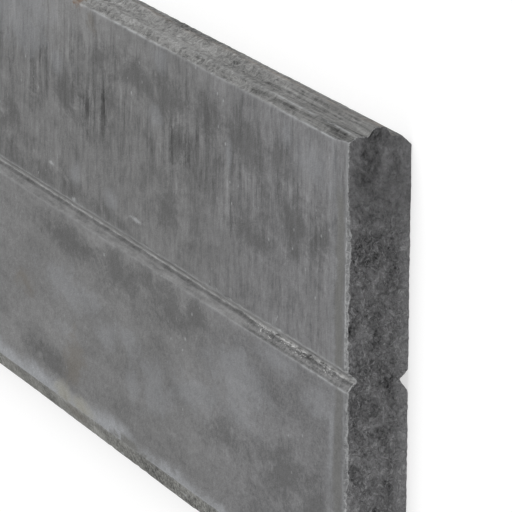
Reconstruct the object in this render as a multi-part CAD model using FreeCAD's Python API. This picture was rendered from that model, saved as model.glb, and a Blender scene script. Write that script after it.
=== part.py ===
import FreeCAD, Part
import math
import os

# Concrete gravel board: one cast plank that stands on edge between slotted posts, at the foot of a fence.
# Here it lies on its back face. X runs along the board, Y from its lower edge to its ridged upper edge,
# and Z out of its front face. The origin lies under the middle of the board, at the level of its back face.

# Driving dimensions, in millimetres
BOARD_LENGTH = 1840.0
BOARD_HEIGHT = 260.0  # from the lower edge to the two ledges of the upper edge
BOARD_THICKNESS = 35.0

# Upper edge: a chamfer on each face, and a low ridge along the middle between two ledges
TOP_CHAMFER = 5.0
RIDGE_FOOT_WIDTH = 13.0
RIDGE_CREST_WIDTH = 3.0
RIDGE_HEIGHT = 4.5

# Lower edge: a steep bevel on each face
BEVEL_HEIGHT = 10.0
BEVEL_DEPTH = 4.0

# V-groove along each face, which makes the board look like two planks
GROOVE_CENTRE_HEIGHT = 128.5  # above the lower edge
GROOVE_WIDTH = 11.0
GROOVE_DEPTH = 5.0

# Corners of the section, rounded by the mould
ARRIS_RADIUS = 1.2
GROOVE_ROOT_RADIUS = 1.0
RIDGE_FOOT_RADIUS = 2.0
RIDGE_CREST_RADIUS = 1.0


def front_corners():
    """Corners of the section's front half as (y, z, radius), from the lower edge to the crest of the ridge."""
    front = BOARD_THICKNESS
    middle = BOARD_THICKNESS / 2
    groove_bottom = GROOVE_CENTRE_HEIGHT - GROOVE_WIDTH / 2
    groove_top = GROOVE_CENTRE_HEIGHT + GROOVE_WIDTH / 2
    return [
        (0, front - BEVEL_DEPTH, ARRIS_RADIUS),
        (BEVEL_HEIGHT, front, ARRIS_RADIUS),
        (groove_bottom, front, ARRIS_RADIUS),
        (GROOVE_CENTRE_HEIGHT, front - GROOVE_DEPTH, GROOVE_ROOT_RADIUS),
        (groove_top, front, ARRIS_RADIUS),
        (BOARD_HEIGHT - TOP_CHAMFER, front, ARRIS_RADIUS),
        (BOARD_HEIGHT, front - TOP_CHAMFER, ARRIS_RADIUS),
        (BOARD_HEIGHT, middle + RIDGE_FOOT_WIDTH / 2, RIDGE_FOOT_RADIUS),
        (BOARD_HEIGHT + RIDGE_HEIGHT, middle + RIDGE_CREST_WIDTH / 2, RIDGE_CREST_RADIUS),
    ]


def section_corners():
    """All corners of the section, with the back half as the mirror image of the front half."""
    front_half = front_corners()
    back_half = [(y, BOARD_THICKNESS - z, radius) for y, z, radius in reversed(front_half)]
    return front_half + back_half


def rounded_corner(before, corner, after, radius):
    """Arc of this radius that touches both sides of a corner."""
    to_before = (before - corner).normalize()
    to_after = (after - corner).normalize()
    half_angle = to_before.getAngle(to_after) / 2
    tangent_length = radius / math.tan(half_angle)
    arc_middle = radius / math.sin(half_angle) - radius
    inward = (to_before + to_after).normalize()
    return Part.Arc(
        corner + to_before * tangent_length,
        corner + inward * arc_middle,
        corner + to_after * tangent_length,
    )


def section_face():
    """Flat face of the board's section, at its left end."""
    middle_height = (BOARD_HEIGHT + RIDGE_HEIGHT) / 2
    corners = section_corners()
    points = [FreeCAD.Vector(-BOARD_LENGTH / 2, y - middle_height, z) for y, z, _ in corners]
    count = len(corners)
    arcs = []
    for i in range(count):
        radius = corners[i][2]
        arcs.append(rounded_corner(points[i - 1], points[i], points[(i + 1) % count], radius))
    edges = []
    for i in range(count):
        side = Part.LineSegment(arcs[i - 1].EndPoint, arcs[i].StartPoint)
        edges += [side.toShape(), arcs[i].toShape()]
    return Part.Face(Part.Wire(edges))


def gravel_board():
    """The whole board: its section drawn out along its length."""
    return section_face().extrude(FreeCAD.Vector(BOARD_LENGTH, 0, 0))


os.makedirs("parts", exist_ok=True)
gravel_board().exportStep("parts/gravel_board.step")
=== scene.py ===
import math
from typing import NamedTuple

import bpy
import numpy as np
from mathutils import Matrix, Vector, noise
from mathutils.geometry import delaunay_2d_cdt


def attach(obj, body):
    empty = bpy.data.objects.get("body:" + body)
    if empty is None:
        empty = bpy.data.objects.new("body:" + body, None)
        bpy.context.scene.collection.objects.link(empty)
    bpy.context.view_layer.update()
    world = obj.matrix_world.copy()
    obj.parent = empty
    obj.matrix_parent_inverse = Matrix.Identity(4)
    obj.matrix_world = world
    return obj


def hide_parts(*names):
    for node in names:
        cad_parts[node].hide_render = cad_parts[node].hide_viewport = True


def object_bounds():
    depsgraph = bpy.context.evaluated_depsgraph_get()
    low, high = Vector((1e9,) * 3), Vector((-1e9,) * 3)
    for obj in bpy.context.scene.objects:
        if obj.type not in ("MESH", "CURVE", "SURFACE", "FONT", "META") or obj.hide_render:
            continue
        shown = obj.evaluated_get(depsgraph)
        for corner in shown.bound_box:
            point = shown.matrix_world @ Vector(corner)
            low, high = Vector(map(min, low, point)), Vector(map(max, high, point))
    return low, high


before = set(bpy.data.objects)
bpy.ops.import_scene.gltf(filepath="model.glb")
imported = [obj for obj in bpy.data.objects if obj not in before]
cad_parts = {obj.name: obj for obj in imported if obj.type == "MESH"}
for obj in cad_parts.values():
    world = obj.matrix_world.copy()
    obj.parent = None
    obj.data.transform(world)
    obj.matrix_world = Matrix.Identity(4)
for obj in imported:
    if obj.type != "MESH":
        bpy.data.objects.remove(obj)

# A cast concrete gravel board that lies on its back face. X runs along it, Y from its lower edge to its
# ridged upper edge, and Z up out of its front face. Lengths are in metres.

NODE = "gravel_board"
CAD_LOW, CAD_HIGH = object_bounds()
HALF_LENGTH = CAD_HIGH.x
LOWER_EDGE = CAD_LOW.y
THICKNESS = CAD_HIGH.z
MIDDLE = THICKNESS / 2

# Section of the board, as heights above its lower edge and depths from its faces
BOARD_HEIGHT = 0.260
TOP_CHAMFER = 0.005
RIDGE_FOOT_WIDTH = 0.013
RIDGE_CREST_WIDTH = 0.003
RIDGE_HEIGHT = 0.0045
BEVEL_HEIGHT = 0.010
BEVEL_DEPTH = 0.004
GROOVE_CENTRE_HEIGHT = 0.1285
GROOVE_WIDTH = 0.011
GROOVE_DEPTH = 0.005
GROOVE_BOTTOM = GROOVE_CENTRE_HEIGHT - GROOVE_WIDTH / 2
GROOVE_TOP = GROOVE_CENTRE_HEIGHT + GROOVE_WIDTH / 2
TOP_ARRIS = BOARD_HEIGHT - TOP_CHAMFER
ROUNDING = 0.0006  # length of side that each rounded corner takes up

# Density and shading of the mesh
SHARP_ANGLE = math.radians(50)  # between faces that are shaded apart
STATIONS = 380  # cross-sections along the board
STATION_EASING = 0.82  # 0 spaces them evenly, 1 crowds them at the ends
FACE_MARGIN = (0.0007, 0.0018, 0.0042)  # rows beside each long arris of a wide face
FACE_ROWS = (0.0004, 0.0009, 0.0016, 0.0032, 0.0068)  # rows beside each end of a wide face
FACE_STEP = 0.014
RIM_STEP = 0.0009
END_STEP = 0.0009

# Scatter of the points between the rows, as shares of their step
JITTER = 0.35
CLEARANCE = 0.6

# Shifts between the noises of different seeds
FIELD_SHIFT = 31.7
TEXTURE_SHIFT = (3.1, 7.7, 1.9)

# Wear of the long arrises, the upper edge and the groove
ARRIS_WIDTH = 0.0007  # pale line on a rubbed arris
CHIP_WIDTH = 0.0013
RUB_DEPTH = 0.00025
CHIP_DEPTH = 0.0013
STREAK_DEPTH = 0.00015
SAND_DEPTH = 0.0004
SLUMP_DEPTH = 0.0010
CRUMB_HEIGHT = 0.0017
CRUMB_SPREAD = 0.0032

# Wear of the ends
END_REACH = 0.012  # how far along the sides the rough end makes itself felt
END_RELIEF = 0.0018
RIM_WIDTH = 0.0010  # broken strip round each end
RIM_LINE = 0.0005  # pale line on its edges
RIM_DEPTH = 0.0011
RIM_DEEPER = 0.0013  # added to that in places
RIM_RAGGED = 0.0009
FACET_WIDTH = 0.0016
NOTCH_SHADE_FOOT = 0.0244  # z where the ridge's front slope begins beside the painted shade of a notch
NOTCH_SHADE_SLOPE = 1.25

# Fuller places near the photographed end, each with its reach from that end
BEVEL_FILL = 0.0024  # how much shallower the front bevel is
BEVEL_FILL_REACH = 0.70
BEVEL_FILL_RUN = 0.45  # length on which it grows to that
ARRIS_RISE = 0.0018  # how much higher the front's upper arris ends
ARRIS_RISE_REACH = 0.030
RIDGE_FILL = 0.0015  # how much fuller the ridge is
RIDGE_FILL_REACH = 0.050

# Fine relief of the materials
FACE_BUMP = 0.0003
GROOVE_BUMP = 0.0005
EDGE_BUMP = 0.0006
END_BUMP = 0.0010

# View of the photograph, as measured on its edges
PHOTO_SIDE = 512
SENSOR_WIDTH = 36.0
FOCAL_PIXELS = 7889.0
VIEW_TURN = math.radians(-74.27)  # the board's length against the picture plane
VIEW_RISE = math.radians(9.54)
VIEW_ROLL = math.radians(-0.59)
END_PIXEL = (377.35, 374.51)  # where the middle of the near end shows
END_DISTANCE = 4.171

# Floor and light
FLOOR_REACH = 60.0
FLOOR_LIT = 0.90  # how pale the floor is for the light that it sends back
FLOOR_SEEN = 0.38  # how pale it is for the camera, with the glow on top
FLOOR_GLOW = 0.66
KEY_ENERGY = 2.45
KEY_ANGLE = math.radians(50)
KEY_SIDE = Vector((-0.2, 0.68, 0.70))  # where the lamp is, seen from the board
SKY = 0.45  # even light all round


# Shape


class Corner(NamedTuple):
    """A corner of the section: how pale it is rubbed, and the kind and the steps of the side after it."""

    height: float
    z: float
    paleness: float
    kind: str
    steps: int


GROOVE_ROOT = Corner(GROOVE_CENTRE_HEIGHT, THICKNESS - GROOVE_DEPTH, 0, "groove", 7)

# Front half of the section, from the middle of the lower edge to the middle of the ridge
FRONT_CORNERS = [
    Corner(0, MIDDLE, 0, "lower", 6),
    Corner(0, THICKNESS - BEVEL_DEPTH, 0.3, "lower", 7),
    Corner(BEVEL_HEIGHT, THICKNESS, 0.3, "panel", 0),
    Corner(GROOVE_BOTTOM, THICKNESS, 0.35, "groove", 7),
    GROOVE_ROOT,
    Corner(GROOVE_TOP, THICKNESS, 0.5, "panel", 0),
    Corner(TOP_ARRIS, THICKNESS, 0.9, "upper", 7),
    Corner(BOARD_HEIGHT, THICKNESS - TOP_CHAMFER, 0.8, "upper", 6),
    Corner(BOARD_HEIGHT, MIDDLE + RIDGE_FOOT_WIDTH / 2, 0, "upper", 7),
    Corner(BOARD_HEIGHT + RIDGE_HEIGHT, MIDDLE + RIDGE_CREST_WIDTH / 2, 0.3, "upper", 2),
    Corner(BOARD_HEIGHT + RIDGE_HEIGHT, MIDDLE, 0, "upper", 0),
]


def eased(steps, easing):
    """Places from 0 up to 1, without the last, crowded towards both ends by the easing."""
    even = np.arange(steps) / steps
    return (1 - easing) * even + easing * (1 - np.cos(math.pi * even)) / 2


def rounded(before, corner, after):
    """Three points that round off a corner of the section."""
    start = corner + (before - corner).normalized() * ROUNDING
    end = corner + (after - corner).normalized() * ROUNDING
    return [start, (start + 2 * corner + end) / 4, end]


def side_points(start, end, kind, steps):
    """Points of one side, with the kind of the strip after each. A wide face has rows only at its arrises."""
    if kind != "panel":
        return [(start.lerp(end, place), kind) for place in eased(steps, 0)]
    along = (end - start).normalized()
    near = [(start + along * gap, "face") for gap in (0, *FACE_MARGIN)]
    near[-1] = (near[-1][0], "panel")
    far = [(end - along * gap, "face") for gap in reversed(FACE_MARGIN)]
    return near + far


def strip_kind(kind):
    """Kind of the strips beside a corner: a wide face is joined there by narrow strips."""
    return "face" if kind == "panel" else kind


def section_outline():
    """Points (y, z) round the section, from the lower edge up the front, and the kind of strip after each."""
    sides = FRONT_CORNERS
    corners = [Vector((LOWER_EDGE + corner.height, corner.z)) for corner in sides]
    half = []
    start = corners[0]
    for i in range(len(sides) - 2):
        turn = rounded(corners[i], corners[i + 1], corners[i + 2])
        half += side_points(start, turn[0], sides[i].kind, sides[i].steps)
        half += [(turn[0], strip_kind(sides[i].kind)), (turn[1], strip_kind(sides[i + 1].kind))]
        start = turn[2]
    half += side_points(start, corners[-1], sides[-2].kind, sides[-2].steps)
    back = [Vector((p.x, THICKNESS - p.y)) for p, _ in reversed(half[1:])]
    points = [p for p, _ in half] + [corners[-1]] + back
    kinds = [kind for _, kind in half] + [kind for _, kind in reversed(half)]
    return np.array(points), kinds


def outward_normals(outline):
    """Unit normals of the section at its outline's points."""
    along = np.roll(outline, -1, axis=0) - np.roll(outline, 1, axis=0)
    normals = np.stack([-along[:, 1], along[:, 0]], axis=1)
    return normals / np.linalg.norm(normals, axis=1, keepdims=True)


def inside(points, loop):
    """Which points lie inside a closed loop."""
    odd = np.zeros(len(points), bool)
    for (ax, ay), (bx, by) in zip(loop, np.roll(loop, -1, axis=0)):
        if ay != by:
            crosses = (ay > points[:, 1]) != (by > points[:, 1])
            odd ^= crosses & (points[:, 0] < ax + (points[:, 1] - ay) * (bx - ax) / (by - ay))
    return odd


def nearest_side(points, loop):
    """Distance from each point to the nearest side of a closed loop, and the number of that side."""
    nearest = np.full(len(points), np.inf)
    numbers = np.zeros(len(points), int)
    for i, (a, b) in enumerate(zip(loop, np.roll(loop, -1, axis=0))):
        side = b - a
        place = np.clip((points - a) @ side / (side @ side), 0, 1)
        distance = np.linalg.norm(points - a - place[:, None] * side, axis=1)
        closer = distance < nearest
        nearest[closer] = distance[closer]
        numbers[closer] = i
    return nearest, numbers


def scattered_inside(loop, step, seed):
    """Points scattered evenly inside a closed loop, clear of its sides."""
    low, high = loop.min(axis=0), loop.max(axis=0)
    counts = np.ceil((high - low) / step).astype(int)
    axes = [np.arange(count) + 0.5 for count in counts]
    grid = np.stack(np.meshgrid(*axes, indexing="ij"), axis=-1).reshape(-1, 2)
    random = np.random.default_rng(seed)
    scattered = low + (grid + random.uniform(-JITTER, JITTER, grid.shape)) * step
    scattered = scattered[inside(scattered, loop)]
    return scattered[nearest_side(scattered, loop)[0] > CLEARANCE * step]


def triangles_over(loop, inner, flipped):
    """Triangles that fill a closed loop, made of its points followed by the points inside it."""
    sides = [(i, (i + 1) % len(loop)) for i in range(len(loop))]
    points = np.concatenate([loop, inner]).astype(np.float32).astype(float)
    _, _, triangles, source, _, _ = delaunay_2d_cdt([Vector(p) for p in points], sides, [], 1, 1e-9, True)
    triangles = np.array([[source[i][0] for i in triangle] for triangle in triangles])
    triangles = triangles[inside(points[triangles].mean(axis=1), points[: len(loop)])]
    return triangles[:, ::-1] if flipped else triangles


def rows_beside_ends(low, high):
    """Points (x, y) of a wide face between two heights, in rows that are closest together beside its ends."""
    rows = []
    for gap in FACE_ROWS:
        y = np.arange(low + gap, high - gap / 2, RIM_STEP + gap / 2)
        for end in (-1, 1):
            rows.append(np.stack([np.full_like(y, end * (HALF_LENGTH - gap)), y], axis=1))
    return np.concatenate(rows)


class Board:
    """Points of the board's surface before wear, and its faces.

    Each point knows the way out of the long sides there, and its distance from the rim of the nearer end.
    """

    def __init__(self):
        self.points = np.empty((0, 3))
        self.outward = np.empty((0, 3))
        self.from_rim = np.empty(0)
        self.faces = []
        self.kinds = []

    def add(self, points, outward, from_rim=None):
        """Adds points and returns their numbers."""
        first = len(self.points)
        self.points = np.concatenate([self.points, points])
        self.outward = np.concatenate([self.outward, np.broadcast_to(outward, points.shape)])
        self.from_rim = np.concatenate([self.from_rim, from_ends(points) if from_rim is None else from_rim])
        return np.arange(first, len(self.points))

    def add_faces(self, faces, kind):
        """Adds faces of one kind, given by the numbers of their points."""
        self.faces += faces
        self.kinds += [kind] * len(faces)


def add_grid(board, outline, stations):
    """Adds the section's points at each station, and returns their numbers in rows by station."""
    shape = (len(stations), len(outline))
    grid = np.empty((*shape, 3))
    grid[..., 0] = stations[:, None]
    grid[..., 1:] = outline
    outward = np.zeros_like(grid)
    outward[..., 1:] = outward_normals(outline)
    return board.add(grid.reshape(-1, 3), outward.reshape(-1, 3)).reshape(shape)


def add_wide_face(board, outline, stations, ids, j):
    """Adds the wide face after point j of the outline, and returns its points on the rim of each end."""
    following = (j + 1) % len(outline)
    across = outline[following] - outline[j]
    front = outline[j, 1] > MIDDLE
    facing = (0.0, 0.0, 1.0 if front else -1.0)
    steps = round(np.linalg.norm(across) / RIM_STEP)
    rims = {}
    for end in (0, -1):
        rim = np.empty((steps - 1, 3))
        rim[:, 0] = stations[end]
        rim[:, 1:] = outline[j] + np.arange(1, steps)[:, None] / steps * across
        rims[end] = board.add(rim, facing)
    border = np.concatenate([ids[:, j], rims[-1], ids[::-1, following], rims[0][::-1]])
    loop = board.points[border][:, :2]
    heights = sorted((outline[j, 0], outline[following, 0]))
    inner = np.concatenate([rows_beside_ends(*heights), scattered_inside(loop, FACE_STEP, j)])
    level = np.full((len(inner), 1), outline[j, 1])
    ids_inside = board.add(np.concatenate([inner, level], axis=1), facing)
    triangles = triangles_over(loop, inner, flipped=not front)
    board.add_faces(np.concatenate([border, ids_inside])[triangles].tolist(), "face")
    return rims


def add_end(board, stations, ids, rims, end):
    """Adds the rough face of one end. Its points follow the nearest side where that is worn."""
    count = ids.shape[1]
    border = []
    for j in range(count):
        border.append(ids[end, j])
        if j in rims:
            border += rims[j][end].tolist()
    loop = board.points[border][:, 1:]
    inner = scattered_inside(loop, END_STEP, count + end)
    distance, side = nearest_side(inner, loop)
    follow = np.clip(1 - distance / END_REACH, 0, 1) ** 2
    outward = np.zeros((len(inner), 3))
    outward[:, 1:] = outward_normals(loop)[side] * follow[:, None]
    level = np.full((len(inner), 1), stations[end])
    ids_inside = board.add(np.concatenate([level, inner], axis=1), outward, distance)
    triangles = triangles_over(loop, inner, flipped=end == 0)
    board.add_faces(np.concatenate([border, ids_inside])[triangles].tolist(), "end")


def board_surface():
    """The whole closed surface: long strips, wide faces and ends."""
    board = Board()
    outline, kinds = section_outline()
    places = np.append(eased(STATIONS - 1, STATION_EASING), 1)
    stations = (2 * places - 1) * HALF_LENGTH
    ids = add_grid(board, outline, stations)
    rims = {}
    for j, kind in enumerate(kinds):
        if kind == "panel":
            rims[j] = add_wide_face(board, outline, stations, ids, j)
            continue
        following = ids[:, (j + 1) % len(outline)]
        quads = np.stack([ids[:-1, j], ids[1:, j], following[1:], following[:-1]], axis=1)
        board.add_faces(quads.tolist(), kind)
    for end in (0, -1):
        add_end(board, stations, ids, rims, end)
    return board


# Wear and cast relief


def field(points, size, seed, octaves=3):
    """Smooth noise at each point, about -1 to 1, with features of this size along x, y and z."""
    scaled = points / np.array(size) + FIELD_SHIFT * seed
    return np.array([noise.fractal(p, 1.0, 2.0, octaves) for p in scaled.tolist()])


def clods(points, size, seed):
    """Clods of about this size: 1 on top of each, 0 in the crevices between them."""
    noise.seed_set(seed)  # or else the vector noise would differ in each run
    tops = []
    for point in (points / size + FIELD_SHIFT * seed).tolist():
        place = Vector(point)
        nearest = noise.voronoi(place + 0.5 * noise.noise_vector(1.7 * place))[0]
        tops.append(nearest[1] - nearest[0])
    return np.clip(2.2 * np.array(tops), 0, 1)


def smooth_step(values, low, high):
    """0 below low, 1 above high, and a smooth rise between them."""
    place = np.clip((values - low) / (high - low), 0, 1)
    return place * place * (3 - 2 * place)


def from_ends(points):
    """Distance to the nearer end."""
    return HALF_LENGTH - np.abs(points[:, 0])


def corner_distance(points, corner):
    """Distance in the section from each point to a corner, on either face."""
    across = points[:, 1] - LOWER_EDGE - corner.height
    return np.minimum(
        np.hypot(across, points[:, 2] - corner.z), np.hypot(across, points[:, 2] - THICKNESS + corner.z)
    )


def rubbed_along(points, corner):
    """How pale a long arris is rubbed: some of them more along parts of the board."""
    from_near_end = HALF_LENGTH - points[:, 0]
    if corner.height == TOP_ARRIS:
        near = smooth_step(from_near_end, 0.015, 0.045) * smooth_step(-from_near_end, -0.16, -0.12)
        far = smooth_step(from_near_end, 0.34, 0.43) * smooth_step(-from_near_end, -0.60, -0.50)
        return corner.paleness * (0.42 + 0.58 * np.maximum(near, far))
    if corner.height == BOARD_HEIGHT:
        return corner.paleness * (0.35 + 0.65 * smooth_step(-from_near_end, -0.20, -0.13))
    if corner.height == GROOVE_BOTTOM:
        near = 0.45 * smooth_step(-from_near_end, -0.36, -0.22)
        nearest = 1.1 * smooth_step(-from_near_end, -0.13, -0.06)
        return corner.paleness * (0.45 + near + nearest)
    if corner.height == GROOVE_TOP:
        return corner.paleness * (1 + 0.7 * smooth_step(-from_near_end, -0.20, -0.10))
    return corner.paleness


def rubbed(points, width):
    """How much the nearest long arris is rubbed, falling off within a width."""
    worn = np.zeros(len(points))
    for corner in FRONT_CORNERS:
        if corner.paleness:
            fading = np.exp(-((corner_distance(points, corner) / width) ** 2))
            worn = np.maximum(worn, rubbed_along(points, corner) * fading)
    return worn


def arris_depth(points):
    """How deep the long arrises are rubbed and chipped."""
    near = rubbed(points, CHIP_WIDTH)
    depth = np.zeros(len(points))
    touched = near > 0.01
    at = points[touched]
    rub = RUB_DEPTH * (1 + field(at, (0.006, 0.004, 0.004), 1))
    chip = CHIP_DEPTH * smooth_step(field(at, (0.011, 0.007, 0.007), 2), 0.35, 0.85)
    exposed = 0.4 + 0.6 * smooth_step(at[:, 2], 0.010, 0.025)
    depth[touched] = near[touched] * exposed * (rub + chip)
    return depth


def upper_depth(points):
    """Relief of the upper edge, where the wet concrete was struck off along the board."""
    height = points[:, 1] - LOWER_EDGE
    depth = np.zeros(len(points))
    struck = height > TOP_ARRIS + 0.0008
    at = points[struck]
    sandy = 0.15 + 0.85 * smooth_step(HALF_LENGTH - at[:, 0], 0.10, 0.32)
    streaks = STREAK_DEPTH * (1 + field(at, (0.09, 0.0020, 0.0020), 3, 2))
    grains = SAND_DEPTH * (1 + field(at, (0.0045, 0.0025, 0.0025), 4, 2))
    slump = SLUMP_DEPTH * sandy * smooth_step(field(at, (0.16, 1.0, 1.0), 5, 2), -0.1, 0.6)
    ridge = smooth_step(height[struck], BOARD_HEIGHT, BOARD_HEIGHT + RIDGE_HEIGHT)
    depth[struck] = (1.1 - 0.8 * sandy) * streaks + sandy * grains + ridge * slump
    return depth


def crumb_height(points):
    """Height of the crumbs that stick in the groove's root, most of them near the photographed end."""
    below = np.minimum(points[:, 2], THICKNESS - points[:, 2])
    height = points[:, 1] - LOWER_EDGE
    rise = np.zeros(len(points))
    held = (below > 0.0006) & (np.abs(height - GROOVE_CENTRE_HEIGHT) < GROOVE_WIDTH / 2)
    at = points[held]
    from_near_end = HALF_LENGTH - at[:, 0]
    many = smooth_step(-from_near_end, -0.20, -0.14) * (0.2 + 0.8 * smooth_step(from_near_end, 0.008, 0.045))
    middle = np.exp(-((corner_distance(at, GROOVE_ROOT) / CRUMB_SPREAD) ** 2))
    lumps = smooth_step(field(at, (0.0055, 0.0022, 0.0022), 6), 0.0, 0.6)
    crumbs = CRUMB_HEIGHT * lumps * middle * (0.12 + 0.88 * many)
    rise[held] = np.minimum(crumbs, 0.6 * below[held])
    return rise


def end_depth(points):
    """How far the rough ends lie behind their planes. The concrete is finer near the upper edge."""
    depth = np.zeros(len(points))
    near = from_ends(points) < END_REACH
    at = points[near]
    at[:, 0] = np.sign(at[:, 0]) * HALF_LENGTH
    coarse = 0.3 + 0.7 * smooth_step(LOWER_EDGE + BOARD_HEIGHT - at[:, 1], 0.030, 0.06)
    hollows = 0.42 * (1 - clods(at, 0.0085, 7)) + 0.30 * (1 - clods(at, 0.0042, 8))
    rough = 0.14 * (1 + field(at, (0.02, 0.006, 0.006), 9, 4))
    depth[near] = END_RELIEF * np.maximum(coarse * (hollows + rough), 0)
    return depth


def rim_brokenness(points):
    """How badly the nearest arris round an end is broken: 1 on the front face, less elsewhere."""
    height = points[:, 1] - LOWER_EDGE
    sound = np.maximum(smooth_step(height, 0.195, 0.235), smooth_step(-points[:, 2], -0.028, -0.012))
    from_groove = np.abs(height - GROOVE_CENTRE_HEIGHT)
    grooved = 1 - smooth_step(from_groove, GROOVE_WIDTH / 2 - 0.001, GROOVE_WIDTH / 2)
    return 1 - np.maximum(0.85 * sound, 0.45 * grooved)


def rim_depth(points):
    """How far the arris round each end is broken back into the sides."""
    near = np.exp(-((from_ends(points) / RIM_WIDTH) ** 2))
    depth = np.zeros(len(points))
    touched = near > 0.01
    at = points[touched]
    broken = RIM_DEPTH + RIM_DEEPER * smooth_step(field(at, (0.02, 0.0150, 0.0150), 10), -0.5, 0.6)
    ragged = RIM_RAGGED * field(at, (0.02, 0.0032, 0.0032), 11, 3)
    depth[touched] = near[touched] * np.maximum(broken + ragged, 0.0003) * rim_brokenness(at)
    return depth


def fuller_places(points):
    """How far the casting stands out of its section, along y and z, where it came out fuller than that."""
    height = points[:, 1] - LOWER_EDGE
    from_near_end = HALF_LENGTH - points[:, 0]
    moved = np.zeros_like(points)

    on_bevel = np.clip(1 - height / BEVEL_HEIGHT, 0, 1)
    front = smooth_step(points[:, 2], MIDDLE, THICKNESS - BEVEL_DEPTH)
    grown = np.clip((BEVEL_FILL_REACH - from_near_end) / BEVEL_FILL_RUN, 0, 1)
    moved[:, 2] = BEVEL_FILL * on_bevel * front * grown

    below_arris = smooth_step(height, TOP_ARRIS - 0.02, TOP_ARRIS)
    on_chamfer = np.clip((BOARD_HEIGHT - height) / TOP_CHAMFER, 0, 1)
    outside = smooth_step(points[:, 2], 0.024, 0.033)
    grown = smooth_step(-from_near_end, -ARRIS_RISE_REACH, 0)
    moved[:, 1] = ARRIS_RISE * below_arris * on_chamfer * outside * grown

    aside = np.abs(points[:, 2] - MIDDLE)
    off_crest = 0.4 + 0.6 * smooth_step(aside, 0.0005, 0.0025)
    beside_crest = off_crest * smooth_step(-aside, -0.0066, -0.0044)
    on_ridge = smooth_step(height, BOARD_HEIGHT - 0.003, BOARD_HEIGHT)
    grown = smooth_step(-from_near_end, -RIDGE_FILL_REACH, -0.010)
    moved[:, 1] += RIDGE_FILL * beside_crest * on_ridge * grown
    return moved


def board_relief(board):
    """All wear of the board's surface, as depths and heights at its points."""
    points = board.points
    return {
        "arris": arris_depth(points),
        "upper": upper_depth(points),
        "rim": rim_depth(points),
        "crumbs": crumb_height(points),
        "end": end_depth(points),
    }


def worn_points(board, relief):
    """The board's points after casting and wear. Everything stays inside the solid's box."""
    points = board.points
    inward = relief["arris"] + relief["upper"] + relief["rim"] - relief["crumbs"]
    worn = points + fuller_places(points) - board.outward * inward[:, None]
    reach = np.clip(1 - from_ends(points) / END_REACH, 0, 1) ** 2
    worn[:, 0] -= np.sign(points[:, 0]) * relief["end"] * reach
    return np.clip(worn, CAD_LOW, CAD_HIGH)


def surface_masks(board, relief):
    """Masks for the materials: rubbed arrises, dust in grooves, painted shade in the hollows of rough
    concrete, broken rims.
    """
    points = board.points
    grain = field(points, (0.012, 0.004, 0.004), 12, 2)
    wear = rubbed(points, ARRIS_WIDTH) * np.clip(0.8 + 1.1 * grain, 0, 1)
    dust = smooth_step(relief["crumbs"], 0.0003, 0.0013)
    # How much painted shade darkens each point, growing with the depth of its relief
    hollow_shade = np.clip((relief["end"] + relief["upper"]) / END_RELIEF, 0, 0.8)
    on_side = board.from_rim <= from_ends(points)
    broken = rim_brokenness(points)
    front = smooth_step(points[:, 2], MIDDLE - 0.006, MIDDLE + 0.006)
    from_rim = board.from_rim + 0.0004 * field(points, (0.02, 0.0030, 0.0030), 13, 2)
    edge = np.exp(-((from_rim / RIM_LINE) ** 2)) * (0.1 + 0.5 * front + 0.4 * broken)
    doubled = 0.3 + 0.7 * (points[:, 1] > LOWER_EDGE + GROOVE_CENTRE_HEIGHT)
    shoulder = on_side * broken * doubled * np.exp(-(((from_rim - FACET_WIDTH) / RIM_LINE) ** 2))
    facet = on_side * broken * smooth_step(-from_rim, -FACET_WIDTH, -RIM_LINE)
    rim = np.maximum(np.maximum(edge, 0.8 * shoulder), 0.42 * facet)
    return {"wear": wear, "dust": dust, "hollow_shade": hollow_shade, "rim": rim}


# Materials


def linear(*rgb):
    """A colour given in 8-bit sRGB, as the shader's linear colour."""
    parts = [c / 255 for c in rgb]
    parts = [c / 12.92 if c <= 0.04045 else ((c + 0.055) / 1.055) ** 2.4 for c in parts]
    return (*parts, 1.0)


# Plain concrete, before its tones
CAST = linear(113, 113, 113)
CAST_NEAR = linear(113, 113, 114)  # at the photographed end
STRUCK = linear(110, 110, 109)
STRUCK_WARM = linear(114, 108, 102)
LOWER = linear(122, 122, 119)
BROKEN = linear(112, 112, 113)

# What marks it
CLOUDED = linear(80, 80, 80)
# Painted shade, in the gaps between crumbs and in a notch of the near end
CREVICE_SHADE = linear(58, 58, 58)
MARGIN = linear(104, 104, 101)
SMEARED = linear(142, 142, 142)
PALE = linear(172, 174, 175)
LIME = linear(153, 155, 158)
# Pale dust, made paler still as painted light against the shade in the groove's root
DUST_AND_LIGHT = linear(224, 224, 222)
CHIPPED = linear(198, 199, 200)
RUST = linear(110, 90, 74)
BROWN = linear(108, 104, 98)
DIRT = linear(107, 107, 105)
YELLOWED = linear(143, 142, 134)
SHEEN = 0.12  # specular level of all the concrete


class Spot(NamedTuple):
    """A mark on the front face: its distance from the photographed end, its height and its half extents."""

    from_near_end: float
    height: float
    half_length: float
    half_height: float


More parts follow.
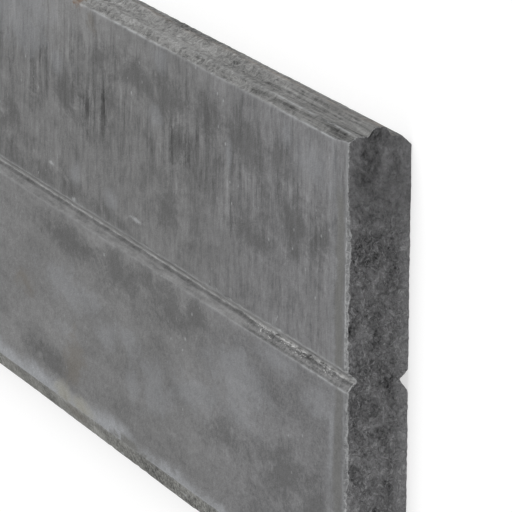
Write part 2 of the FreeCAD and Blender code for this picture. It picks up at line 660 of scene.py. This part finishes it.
DARK_RUNS = [
    Spot(0.549, 0.196, 0.017, 0.020),
    Spot(0.544, 0.181, 0.008, 0.012),
    Spot(0.511, 0.196, 0.010, 0.016),
    Spot(0.585, 0.197, 0.010, 0.018),
    Spot(0.590, 0.221, 0.008, 0.014),
    Spot(0.684, 0.205, 0.009, 0.026),
    Spot(0.659, 0.223, 0.009, 0.014),
    Spot(0.345, 0.202, 0.016, 0.020),
    Spot(0.322, 0.206, 0.010, 0.014),
    Spot(0.281, 0.228, 0.012, 0.013),
    Spot(0.229, 0.178, 0.010, 0.010),
]
DARK_CLOUDS = [
    Spot(0.680, 0.198, 0.014, 0.020),
    Spot(0.600, 0.194, 0.032, 0.017),
    Spot(0.512, 0.231, 0.030, 0.012),
    Spot(0.492, 0.212, 0.016, 0.024),
    Spot(0.440, 0.229, 0.060, 0.014),
    Spot(0.360, 0.226, 0.060, 0.018),
    Spot(0.342, 0.206, 0.018, 0.020),
    Spot(0.280, 0.228, 0.045, 0.016),
    Spot(0.200, 0.225, 0.060, 0.018),
    Spot(0.162, 0.206, 0.014, 0.024),
    Spot(0.132, 0.228, 0.030, 0.012),
    Spot(0.190, 0.177, 0.060, 0.011),
    Spot(0.100, 0.196, 0.045, 0.024),
    Spot(0.048, 0.199, 0.024, 0.022),
    Spot(0.360, 0.166, 0.030, 0.014),
    Spot(0.738, 0.161, 0.030, 0.018),
    Spot(0.575, 0.108, 0.100, 0.010),
    Spot(0.475, 0.107, 0.090, 0.018),
    Spot(0.370, 0.110, 0.085, 0.020),
    Spot(0.300, 0.110, 0.036, 0.013),
    Spot(0.630, 0.029, 0.062, 0.010),
    Spot(0.240, 0.056, 0.036, 0.014),
    Spot(0.115, 0.056, 0.090, 0.019),
    Spot(0.060, 0.052, 0.040, 0.018),
]
PALE_RUNS = [
    Spot(0.237, 0.187, 0.003, 0.024),
    Spot(0.159, 0.153, 0.004, 0.008),
    Spot(0.152, 0.187, 0.004, 0.009),
    Spot(0.088, 0.178, 0.004, 0.018),
    Spot(0.084, 0.210, 0.003, 0.009),
]
PALE_CLOUDS = [
    Spot(0.060, 0.236, 0.050, 0.017),
    Spot(0.118, 0.244, 0.018, 0.009),
    Spot(0.234, 0.214, 0.008, 0.012),
    Spot(0.386, 0.248, 0.024, 0.010),
    Spot(0.394, 0.211, 0.018, 0.010),
    Spot(0.490, 0.149, 0.022, 0.008),
    Spot(0.578, 0.151, 0.018, 0.008),
    Spot(0.625, 0.214, 0.018, 0.011),
    Spot(0.680, 0.238, 0.090, 0.016),
    Spot(0.720, 0.226, 0.120, 0.024),
    Spot(0.310, 0.068, 0.070, 0.013),
    Spot(0.210, 0.090, 0.070, 0.030),
    Spot(0.390, 0.054, 0.055, 0.020),
    Spot(0.440, 0.048, 0.030, 0.014),
    Spot(0.450, 0.073, 0.040, 0.012),
    Spot(0.505, 0.067, 0.032, 0.011),
    Spot(0.590, 0.080, 0.080, 0.016),
    Spot(0.590, 0.053, 0.040, 0.008),
    Spot(0.026, 0.096, 0.009, 0.030),
    Spot(0.052, 0.108, 0.040, 0.014),
    Spot(0.135, 0.116, 0.060, 0.008),
]
WHITE_MARKS = [
    Spot(0.634, 0.149, 0.010, 0.0017),
    Spot(0.580, 0.135, 0.008, 0.0026),
    Spot(0.560, 0.1322, 0.012, 0.0018),
    Spot(0.434, 0.146, 0.017, 0.0018),
    Spot(0.566, 0.2545, 0.006, 0.0016),
]
BROWN_STAINS = [
    Spot(0.700, 0.066, 0.030, 0.009),
    Spot(0.580, 0.036, 0.028, 0.026),
    Spot(0.574, 0.006, 0.036, 0.008),
    Spot(0.546, 0.248, 0.018, 0.013),
]
YELLOW_STAINS = [
    Spot(0.600, 0.0130, 0.040, 0.0090),
    Spot(0.560, 0.0125, 0.044, 0.0090),
]
DIRT_STAINS = [
    Spot(0.440, 0.0095, 0.062, 0.0060),
]
RUST_STAINS = [
    Spot(0.576, 0.2556, 0.014, 0.0050),
]


class Signal:
    """A number that varies over a surface, made by a material's nodes."""

    def __init__(self, tree, socket):
        self.tree = tree
        self.socket = socket

    def math(self, operation, *others):
        node = self.tree.nodes.new("ShaderNodeMath")
        node.operation = operation
        for slot, value in zip(node.inputs, (self, *others)):
            if isinstance(value, Signal):
                self.tree.links.new(value.socket, slot)
            else:
                slot.default_value = value
        return Signal(self.tree, node.outputs[0])

    def __add__(self, other):
        return self.math("ADD", other)

    def __sub__(self, other):
        return self.math("SUBTRACT", other)

    def __mul__(self, other):
        return self.math("MULTIPLY", other)

    __radd__ = __add__
    __rmul__ = __mul__

    def __rsub__(self, other):
        return (self * -1.0) + other

    def larger(self, other):
        return self.math("MAXIMUM", other)

    def from_middle(self, middle, half):
        """0 at the middle, -1 and 1 at half an extent from it."""
        return self.math("MULTIPLY_ADD", 1 / half, -middle / half)

    def rise(self, low, high):
        """0 at low, 1 at high, and smooth between them. High may be the lower number."""
        node = self.tree.nodes.new("ShaderNodeMapRange")
        node.interpolation_type = "SMOOTHSTEP"
        self.tree.links.new(self.socket, node.inputs["Value"])
        node.inputs["From Min"].default_value = min(low, high)
        node.inputs["From Max"].default_value = max(low, high)
        node.inputs["To Min"].default_value = 0.0 if low < high else 1.0
        node.inputs["To Max"].default_value = 1.0 if low < high else 0.0
        return Signal(self.tree, node.outputs["Result"])

    def band(self, start, full, fading, end):
        """1 between full and fading, and 0 outside start and end."""
        return self.rise(start, full) * self.rise(end, fading)


class Surface:
    """A material under construction, with short ways to add nodes to it."""

    def __init__(self, name):
        self.material = bpy.data.materials.new(name)
        self.material.use_nodes = True
        self.tree = self.material.node_tree
        self.shader = self.tree.nodes["Principled BSDF"]
        self.shader.inputs["Specular IOR Level"].default_value = SHEEN
        self.place = self.tree.nodes.new("ShaderNodeTexCoord").outputs["Object"]
        split = self.tree.nodes.new("ShaderNodeSeparateXYZ")
        self.tree.links.new(self.place, split.inputs[0])
        self.x, self.y, self.z = [Signal(self.tree, socket) for socket in split.outputs]
        self.height = self.y - LOWER_EDGE
        self.from_end = HALF_LENGTH - self.x.math("ABSOLUTE")
        self.from_near_end = HALF_LENGTH - self.x
        self.front = self.z.rise(MIDDLE - 0.001, MIDDLE + 0.001)

    def texture(self, kind, size, seed):
        """A texture node with features of this size along x, y and z, shifted by its seed."""
        place = self.tree.nodes.new("ShaderNodeMapping")
        self.tree.links.new(self.place, place.inputs["Vector"])
        place.inputs["Scale"].default_value = [1 / s for s in size]
        place.inputs["Location"].default_value = [shift * seed for shift in TEXTURE_SHIFT]
        node = self.tree.nodes.new(kind)
        self.tree.links.new(place.outputs["Vector"], node.inputs["Vector"])
        node.inputs["Scale"].default_value = 1.0
        return node

    def noise(self, size, seed, detail=3.0, roughness=0.55, distortion=0.0):
        """Noise about -1 to 1 with features of this size along x, y and z."""
        node = self.texture("ShaderNodeTexNoise", size, seed)
        node.inputs["Detail"].default_value = detail
        node.inputs["Roughness"].default_value = roughness
        node.inputs["Distortion"].default_value = distortion
        return Signal(self.tree, node.outputs["Fac"]) * 2.0 - 1.0

    def cells(self, size, seed):
        """Distance from the nearest of many scattered points, 0 at each point."""
        node = self.texture("ShaderNodeTexVoronoi", size, seed)
        return Signal(self.tree, node.outputs["Distance"])

    def spots(self, marks, ragged):
        """Soft marks on the front face, 1 in the middle of each, with edges made ragged by a noise."""
        covered = None
        for mark in marks:
            along = self.from_near_end.from_middle(mark.from_near_end, mark.half_length)
            across = self.height.from_middle(mark.height, mark.half_height)
            distance = along.math("MULTIPLY_ADD", along, across * across).math("SQRT")
            spot = (distance + ragged).rise(1.05, 0.15)
            covered = spot if covered is None else covered.larger(spot)
        return covered * self.front

    def mask(self, name):
        """A mask that the mesh carries."""
        node = self.tree.nodes.new("ShaderNodeAttribute")
        node.attribute_name = name
        return Signal(self.tree, node.outputs["Fac"])

    def chipped_rim(self):
        """How pale the broken rim of an end is, in small ragged chips."""
        chips = self.noise((0.0030, 0.0028, 0.0016), 41, 3.0, 0.85, 1.0)
        return (self.mask("rim") + 1.5 * chips).rise(0.20, 0.95) * self.mask("rim").rise(0.02, 0.30)

    def mix(self, first, second, share, blend="MIX"):
        """Two colours mixed by a share, each a fixed colour, a colour socket or a grey signal."""
        node = self.tree.nodes.new("ShaderNodeMix")
        node.data_type = "RGBA"
        node.blend_type = blend
        factor, a, b = node.inputs[0], node.inputs[6], node.inputs[7]
        for slot, value in ((factor, share), (a, first), (b, second)):
            if isinstance(value, Signal):
                self.tree.links.new(value.socket, slot)
            elif isinstance(value, bpy.types.NodeSocket):
                self.tree.links.new(value, slot)
            else:
                slot.default_value = value
        return node.outputs[2]

    def toned(self, colour, tone):
        """A colour made darker or paler by a tone."""
        return self.mix(colour, tone, 1.0, "MULTIPLY")

    def finish(self, colour, roughness, bump, bump_height):
        """Joins the colour, the roughness and the fine relief to the shader."""
        self.tree.links.new(colour, self.shader.inputs["Base Color"])
        self.tree.links.new(roughness.socket, self.shader.inputs["Roughness"])
        node = self.tree.nodes.new("ShaderNodeBump")
        node.inputs["Distance"].default_value = bump_height
        self.tree.links.new(bump.socket, node.inputs["Height"])
        self.tree.links.new(node.outputs["Normal"], self.shader.inputs["Normal"])
        return self.material


def upper_half_tone(s, clouds, smears, grain):
    """Tone of the faces above the groove: dark runs in two zones, paler between them and at the arris."""
    runs = s.noise((0.012, 0.055, 0.02), 4, 4.0, 0.7)
    level = s.height + 0.05 * runs + 0.03 * clouds
    far = s.from_near_end.rise(0.35, 0.60)
    first = level.band(0.160, 0.188, 0.203, 0.214)
    second = level.band(0.210, 0.219, 0.236, 0.246)
    smeared = (s.height + 0.012 * smears).band(0.130, 0.136, 0.144, 0.149)

    near = s.from_near_end.rise(0.25, 0.10)
    streaks = s.noise((0.0055, 0.014, 0.02), 7, 3.0, 0.75)
    tone = 0.93 + 0.06 * near + 0.25 * clouds + 0.6 * smears + (0.26 + 0.08 * near) * grain
    tone = tone + (0.42 + 0.18 * near) * streaks
    tone = tone + (0.3 + 0.5 * (first + second)) * runs
    tone = tone - 0.08 * first - 0.16 * far * smeared
    tone = tone + (0.06 + 0.10 * far) * level.rise(0.237, 0.250)
    tone = tone + 0.12 * s.from_near_end.rise(0.54, 0.66) * s.height.rise(0.212, 0.232)
    tone = tone - 0.28 * s.spots(DARK_RUNS, 1.2 * runs + 0.8 * grain)
    return tone + 0.25 * s.spots(PALE_RUNS, 2.0 * grain)


def lower_half_tone(s, clouds, smears, grain):
    """Tone of the faces below the groove: smeared clouds along the board."""
    drifts = s.noise((0.18, 0.030, 0.02), 5, 4.0, 0.66, 0.3)
    near = s.from_near_end.rise(0.20, 0.08)
    tone = 1.01 - 0.05 * near + 0.55 * drifts + 0.2 * clouds + 0.4 * smears
    tone = tone + (0.5 + 0.15 * s.from_near_end.rise(0.32, 0.16)) * grain
    return tone - 0.05 * (s.height + 0.02 * drifts).band(0.016, 0.024, 0.034, 0.046)


def bordered(s, colour, clouds, smears, grain, upper):
    """The borders of the wide faces: a dark margin and a pale halo beside each end, lime above the bevels."""
    margin = (s.from_end + 0.006 * smears + 0.006 * clouds).band(0.004, 0.009, 0.016, 0.023)
    margin = margin * s.height.rise(0.236, 0.222)
    colour = s.mix(colour, MARGIN, (0.5 + 0.2 * upper) * margin)
    halo = (s.from_end + 0.012 * smears + 0.008 * clouds).band(0.018, 0.024, 0.029, 0.041)
    colour = s.mix(colour, LIME, 0.14 * halo)
    bloom = s.height + 0.008 * smears + 0.012 * clouds + 0.004 * s.from_near_end.rise(0.6, 0.3)
    return s.mix(colour, LIME, (0.8 + 0.5 * grain) * bloom.rise(0.0230, 0.0125))


def stained(s, colour, smears, grain):
    """The stains and small white marks of the front face, and a pale smear under part of the groove."""
    colour = s.mix(colour, DIRT, 1.4 * s.spots(DIRT_STAINS, 1.2 * smears))
    colour = s.mix(colour, YELLOWED, 0.85 * s.spots(YELLOW_STAINS, smears))
    colour = s.mix(colour, BROWN, 0.6 * s.spots(BROWN_STAINS, 2.0 * smears))
    colour = s.mix(colour, RUST, 0.8 * s.spots(RUST_STAINS, 2.0 * grain))
    colour = s.mix(colour, PALE, 0.55 * s.spots(WHITE_MARKS, grain))
    under_groove = (s.height + 0.006 * smears).band(0.1150, 0.1215, 0.1240, 0.1245)
    far = s.from_near_end.band(0.40, 0.46, 0.62, 0.70)
    return s.mix(colour, SMEARED, (0.28 + 0.5 * smears) * far * under_groove)


def cast_concrete():
    """The wide faces: smooth from the mould, clouded and stained, and rubbed pale at their rims."""
    s = Surface("cast_concrete")
    clouds = s.noise((0.11, 0.075, 0.03), 1, 4.0, 0.65, 0.4)
    smears = s.noise((0.030, 0.014, 0.02), 2, 4.0, 0.7, 0.5)
    grain = s.noise((0.0042, 0.0026, 0.004), 3, 3.0, 0.85)
    upper = s.height.rise(GROOVE_BOTTOM, GROOVE_TOP)
    upper_tone = upper_half_tone(s, clouds, smears, grain)
    tone = s.mix(lower_half_tone(s, clouds, smears, grain), upper_tone, upper)
    colour = s.toned(s.mix(CAST, CAST_NEAR, s.from_near_end.rise(0.4, 0.1)), tone)
    colour = s.mix(colour, CLOUDED, 0.58 * s.spots(DARK_CLOUDS, 1.2 * smears + 0.4 * grain))
    colour = s.mix(colour, LIME, 0.31 * s.spots(PALE_CLOUDS, 1.4 * smears))
    specks = s.cells((0.014, 0.010, 0.02), 6).rise(0.13, 0.06) * clouds.rise(-0.05, 0.25)
    colour = s.mix(colour, PALE, 0.5 * specks)
    colour = bordered(s, colour, clouds, smears, grain, upper)
    colour = stained(s, colour, smears, grain)
    rubbed_rim = (s.from_end + 0.004 * smears).rise(0.0060, 0.0020)
    colour = s.mix(colour, PALE, (0.26 * rubbed_rim).larger(0.85 * s.mask("wear")))
    colour = s.mix(colour, CHIPPED, 0.55 * s.chipped_rim())
    return s.finish(colour, 0.85 + 0.3 * smears, grain + 0.6 * smears, FACE_BUMP)


def groove_concrete():
    """The flanks of the grooves: pale dust in the root, partly painted light, blotches under it, painted
    shade in lines under the lips, and painted light on the upper flank.
    """
    s = Surface("groove_concrete")
    smears = s.noise((0.030, 0.004, 0.004), 8, 4.0, 0.7)
    grain = s.noise((0.0042, 0.0022, 0.0022), 9, 3.0, 0.85)
    near = s.from_near_end.rise(0.24, 0.15)
    above_root = s.height - GROOVE_CENTRE_HEIGHT
    ragged = above_root + 0.0005 * near + (0.0003 + 0.0005 * near) * smears
    upper_flank_light = above_root.rise(-0.0001, 0.0003)
    blotched = ragged.band(-0.0025, -0.0016, -0.0010, -0.0005)
    lined = above_root + 0.0006 * smears
    # Painted shade in thin lines under the lower and the upper lip
    shade_under_lower_lip = lined.band(-0.0056, -0.0052, -0.0047, -0.0038)
    shade_under_upper_lip = lined.band(0.0022, 0.0028, 0.0040, 0.0046)
    tone = 1.06 + 0.8 * smears + (0.5 + 0.5 * near) * grain - 0.34 * blotched
    upper_lip_shade = 0.06 + 0.45 * s.from_near_end.rise(0.16, 0.06)
    tone = tone - (0.02 + 0.33 * near) * shade_under_lower_lip - upper_lip_shade * shade_under_upper_lip
    # Painted light on the upper flank, which lies in shade
    tone = tone + (0.78 + 0.26 * near + 0.8 * smears) * upper_flank_light
    colour = s.toned(CAST, tone)
    uneven = (0.3 + 0.7 * near) * (0.9 * smears + 0.8 * grain)
    # Pale dust in the root and on the crumbs, partly real and partly painted light against the root's shade
    dust_and_light = ragged.band(-0.0005, -0.0001, 0.0014, 0.0024) * (0.29 + 0.09 * near + uneven)
    crumbs = ragged.band(-0.0034, -0.0026, -0.0004, 0.0006) * near * s.from_end.rise(0.010, 0.035)
    lumps = s.noise((0.0060, 0.0018, 0.0018), 10, 2.0, 0.9, 0.8)
    # Painted shade in the gaps between the crumbs
    colour = s.mix(colour, CREVICE_SHADE, 0.8 * crumbs * lumps.rise(-0.14, -0.36))
    dust_and_light = dust_and_light.larger(0.25 * s.mask("dust")).larger(0.7 * crumbs * lumps.rise(0.18, 0.42))
    colour = s.mix(colour, DUST_AND_LIGHT, dust_and_light)
    colour = s.mix(colour, PALE, 0.85 * s.mask("wear"))
    colour = s.mix(colour, CHIPPED, 0.9 * s.chipped_rim())
    return s.finish(colour, 0.88 + 0.3 * grain, grain, GROOVE_BUMP)


def struck_concrete():
    """The upper edge: pale and sandy where it was struck off, dark and streaked near the photographed end."""
    s = Surface("struck_concrete")
    streaks = s.noise((0.10, 0.0020, 0.0020), 11, 3.0, 0.75)
    sand = s.noise((0.0066, 0.0034, 0.0034), 12, 3.0, 0.85, 0.8)
    clouds = s.noise((0.05, 0.012, 0.012), 13, 3.0, 0.7)
    sandy = s.from_near_end.rise(0.06, 0.30)
    near = s.from_near_end.rise(0.20, 0.02)
    far = s.from_near_end.rise(0.18, 0.42)
    tone = 1.0 + 0.6 * clouds + (1.3 - 0.9 * sandy) * streaks + (0.8 + 1.1 * sandy) * sand
    # Painted shade in the hollows of the relief
    tone = tone - 0.30 * (s.mask("hollow_shade") - 0.2) - 0.20 * near + 0.14 * far
    slope = s.z.band(0.0175, 0.020, 0.0222, 0.0245)
    ledge = s.z.band(0.0255, 0.0275, 0.0310, 0.0330)
    tone = tone + far * (0.24 * slope + 0.12 * ledge - 0.22 * s.z.rise(0.0185, 0.0165))
    chamfer = s.height.rise(BOARD_HEIGHT, BOARD_HEIGHT - 0.002)
    shaded = 0.14 * s.from_near_end.rise(0.30, 0.20) + 0.18 * s.from_near_end.rise(0.05, 0.02)
    tone = tone - chamfer * shaded
    warm = s.z.band(0.008, 0.013, 0.015, 0.021) * clouds.rise(-0.3, 0.2)
    colour = s.toned(s.mix(STRUCK, STRUCK_WARM, warm), tone)
    colour = s.mix(colour, RUST, 0.7 * s.spots(RUST_STAINS, 2.0 * sand))
    colour = s.mix(colour, PALE, (0.75 * s.mask("wear")).larger(0.8 * s.chipped_rim()))
    return s.finish(colour, 0.92 + 0.2 * sand, sand + streaks, EDGE_BUMP)


def lower_concrete():
    """The bevels and the flat of the lower edge: granular, darker towards the photographed end."""
    s = Surface("lower_concrete")
    sand = s.noise((0.0045, 0.0026, 0.0026), 21, 3.0, 0.85)
    clouds = s.noise((0.06, 0.02, 0.02), 22, 3.0, 0.65)
    near = s.from_near_end.rise(0.60, 0.25)
    tone = 1.12 + 1.1 * clouds + (1.3 + 0.7 * near) * sand - 0.34 * near
    colour = s.toned(LOWER, tone)
    colour = s.mix(colour, BROWN, 0.6 * s.spots(BROWN_STAINS, clouds))
    specks = s.cells((0.030, 0.010, 0.010), 23).rise(0.16, 0.08)
    pale = (0.6 * specks).larger(0.6 * s.mask("wear")).larger(0.6 * s.chipped_rim())
    colour = s.mix(colour, PALE, pale)
    return s.finish(colour, 0.92 + 0.2 * sand, sand, EDGE_BUMP)


def ridge_notch_shade(s):
    """Painted shade of a notch in the near end, along the front slope of its ridge."""
    below_slope = BOARD_HEIGHT + NOTCH_SHADE_SLOPE * (NOTCH_SHADE_FOOT - s.z) - s.height
    on_slope = s.z.band(0.0202, 0.0222, 0.0236, NOTCH_SHADE_FOOT)
    notch_shade = below_slope.band(-0.0006, 0.0008, 0.0018, 0.0030) * on_slope
    return notch_shade * s.from_near_end.rise(0.2, 0.1)


def broken_concrete():
    """The ends: dark and rough, with paler flakes and grains, smoother near the upper edge.

    Painted light makes them paler along the back; they are also paler at the front of the upper part and on
    the back half of the ridge.
    """
    s = Surface("broken_concrete")
    mottle = s.noise((0.02, 0.017, 0.011), 31, 3.0, 0.7, 0.6)
    flakes = s.noise((0.008, 0.0060, 0.0048), 32, 3.0, 0.8, 2.2)
    grain = s.noise((0.003, 0.0020, 0.0017), 33, 2.0, 0.8, 0.8)
    coarse = s.height.rise(BOARD_HEIGHT - 0.03, BOARD_HEIGHT - 0.06)
    lower = s.height.rise(0.16, 0.06)
    # The coarse lower part is painted paler, as painted light that offsets the shade in its relief
    tone = 0.95 + 0.30 * coarse + 0.28 * lower + (1.7 - 0.2 * coarse) * mottle
    tone = tone + (0.45 + 0.75 * coarse) * flakes + (0.6 + 0.55 * coarse) * grain
    # Painted shade in the hollows of the relief
    tone = tone - 0.28 * (s.mask("hollow_shade") - 0.35)

    # Painted light along the back, against the shade of the floor there
    back_painted_light = (s.z + 0.004 * mottle).rise(0.0098, -0.0005)
    pale_front = (s.z + 0.004 * mottle).rise(0.0255, 0.0315) * s.height.rise(0.185, 0.205)
    dark_strip = s.z.band(0.0165, 0.0205, 0.0265, 0.0290) * s.height.rise(0.222, 0.234)
    pale_ridge = s.z.band(0.0095, 0.0125, 0.0155, 0.0180) * s.height.rise(0.2545, 0.2585)
    tone = tone + (0.80 + 0.38 * coarse) * back_painted_light + 0.30 * pale_front - 0.20 * dark_strip
    tone = tone + 0.50 * pale_ridge

    ledges = s.noise((0.008, 0.0095, 0.0060), 35, 2.0, 0.6, 1.6)
    lit = ledges.band(0.0, 0.04, 0.07, 0.15)
    shaded = ledges.band(-0.15, -0.07, -0.04, 0.0)
    tone = tone + coarse * flakes.rise(-0.25, 0.25) * (0.8 * lit - 0.40 * shaded)
    colour = s.toned(BROKEN, tone)
    flecks = s.cells((0.004, 0.0042, 0.0036), 34).rise(0.24, 0.10) * flakes.rise(0.0, 0.3)
    colour = s.mix(colour, PALE, 0.45 * coarse * flecks)
    colour = s.mix(colour, CHIPPED, 0.9 * s.chipped_rim())
    # Painted shade of a notch beside the ridge
    colour = s.mix(colour, CREVICE_SHADE, 0.85 * ridge_notch_shade(s))
    return s.finish(colour, 0.94 + 0.12 * grain, grain + flakes, END_BUMP)


MAKERS = {
    "face": cast_concrete,
    "groove": groove_concrete,
    "upper": struck_concrete,
    "lower": lower_concrete,
    "end": broken_concrete,
}


def board_piece():
    """The dressed board, which stands for the CAD solid."""
    board = board_surface()
    relief = board_relief(board)
    mesh = bpy.data.meshes.new("gravel_board_cast")
    mesh.from_pydata(worn_points(board, relief).tolist(), [], board.faces)
    for make in MAKERS.values():
        mesh.materials.append(make())
    order = list(MAKERS)
    mesh.polygons.foreach_set("material_index", [order.index(kind) for kind in board.kinds])
    for name, values in surface_masks(board, relief).items():
        attribute = mesh.attributes.new(name, "FLOAT", "POINT")
        attribute.data.foreach_set("value", values.astype(np.float32))
    mesh.shade_smooth()
    mesh.set_sharp_from_angle(angle=SHARP_ANGLE)
    mesh.validate()
    piece = bpy.data.objects.new("gravel_board_cast", mesh)
    bpy.context.collection.objects.link(piece)
    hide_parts(NODE)
    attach(piece, "root")


# Stage


def seen_directly(tree):
    """1 for what the camera sees, also in a reflection or through glass, and 0 for the light on things."""
    path = tree.nodes.new("ShaderNodeLightPath")
    rays = [Signal(tree, path.outputs[f"Is {kind} Ray"]) for kind in ("Camera", "Glossy", "Transmission")]
    return rays[0].larger(rays[1]).larger(rays[2])


def white_floor():
    """A wide pale floor that looks white and keeps the board's shadow."""
    mesh = bpy.data.meshes.new("floor")
    corners = [(x * FLOOR_REACH, y * FLOOR_REACH, 0) for x, y in ((-1, -1), (1, -1), (1, 1), (-1, 1))]
    mesh.from_pydata(corners, [], [(0, 1, 2, 3)])
    material = bpy.data.materials.new("floor")
    material.use_nodes = True
    tree = material.node_tree
    shader = tree.nodes["Principled BSDF"]
    shader.inputs["Roughness"].default_value = 1.0
    shader.inputs["Specular IOR Level"].default_value = 0.0
    shader.inputs["Emission Color"].default_value = (1.0, 1.0, 1.0, 1.0)
    seen = seen_directly(tree)
    grey = FLOOR_LIT - (FLOOR_LIT - FLOOR_SEEN) * seen
    tree.links.new(grey.socket, shader.inputs["Base Color"])
    tree.links.new((FLOOR_GLOW * seen).socket, shader.inputs["Emission Strength"])
    mesh.materials.append(material)
    floor = bpy.data.objects.new("floor", mesh)
    bpy.context.collection.objects.link(floor)


def studio_light():
    """A broad soft lamp from above and from the side of the upper edge, and even light all round."""
    lamp = bpy.data.lights.new("key", "SUN")
    lamp.energy = KEY_ENERGY
    lamp.angle = KEY_ANGLE
    key = bpy.data.objects.new("key", lamp)
    key.rotation_mode = "QUATERNION"
    key.rotation_quaternion = KEY_SIDE.to_track_quat("Z", "Y")
    bpy.context.collection.objects.link(key)

    world = bpy.data.worlds.new("studio")
    world.use_nodes = True
    tree = world.node_tree
    background = tree.nodes["Background"]
    background.inputs["Color"].default_value = (1.0, 1.0, 1.0, 1.0)
    strength = SKY + (1 - SKY) * seen_directly(tree)
    tree.links.new(strength.socket, background.inputs["Strength"])
    bpy.context.scene.world = world


def photo_camera():
    """The camera where the photograph was taken from, turned with the board that lies down here."""
    roll = Matrix.Rotation(VIEW_ROLL, 3, "Z")
    rise = Matrix.Rotation(VIEW_RISE, 3, "X")
    turn = (roll @ rise @ Matrix.Rotation(VIEW_TURN, 3, "Y")).transposed()
    pixel = END_DISTANCE / FOCAL_PIXELS
    across = (PHOTO_SIDE / 2 - END_PIXEL[0]) * pixel
    upward = (END_PIXEL[1] - PHOTO_SIDE / 2) * pixel
    near_end = Vector((HALF_LENGTH, 0, MIDDLE))
    data = bpy.data.cameras.new("photo")
    data.sensor_width = SENSOR_WIDTH
    data.lens = FOCAL_PIXELS / PHOTO_SIDE * SENSOR_WIDTH
    data.clip_end = 200.0
    camera = bpy.data.objects.new("photo", data)
    place = near_end + turn @ Vector((across, upward, END_DISTANCE))
    camera.matrix_world = Matrix.LocRotScale(place, turn, None)
    bpy.context.collection.objects.link(camera)
    bpy.context.scene.camera = camera


board_piece()
white_floor()
studio_light()
photo_camera()
bpy.context.scene.view_settings.view_transform = "Standard"
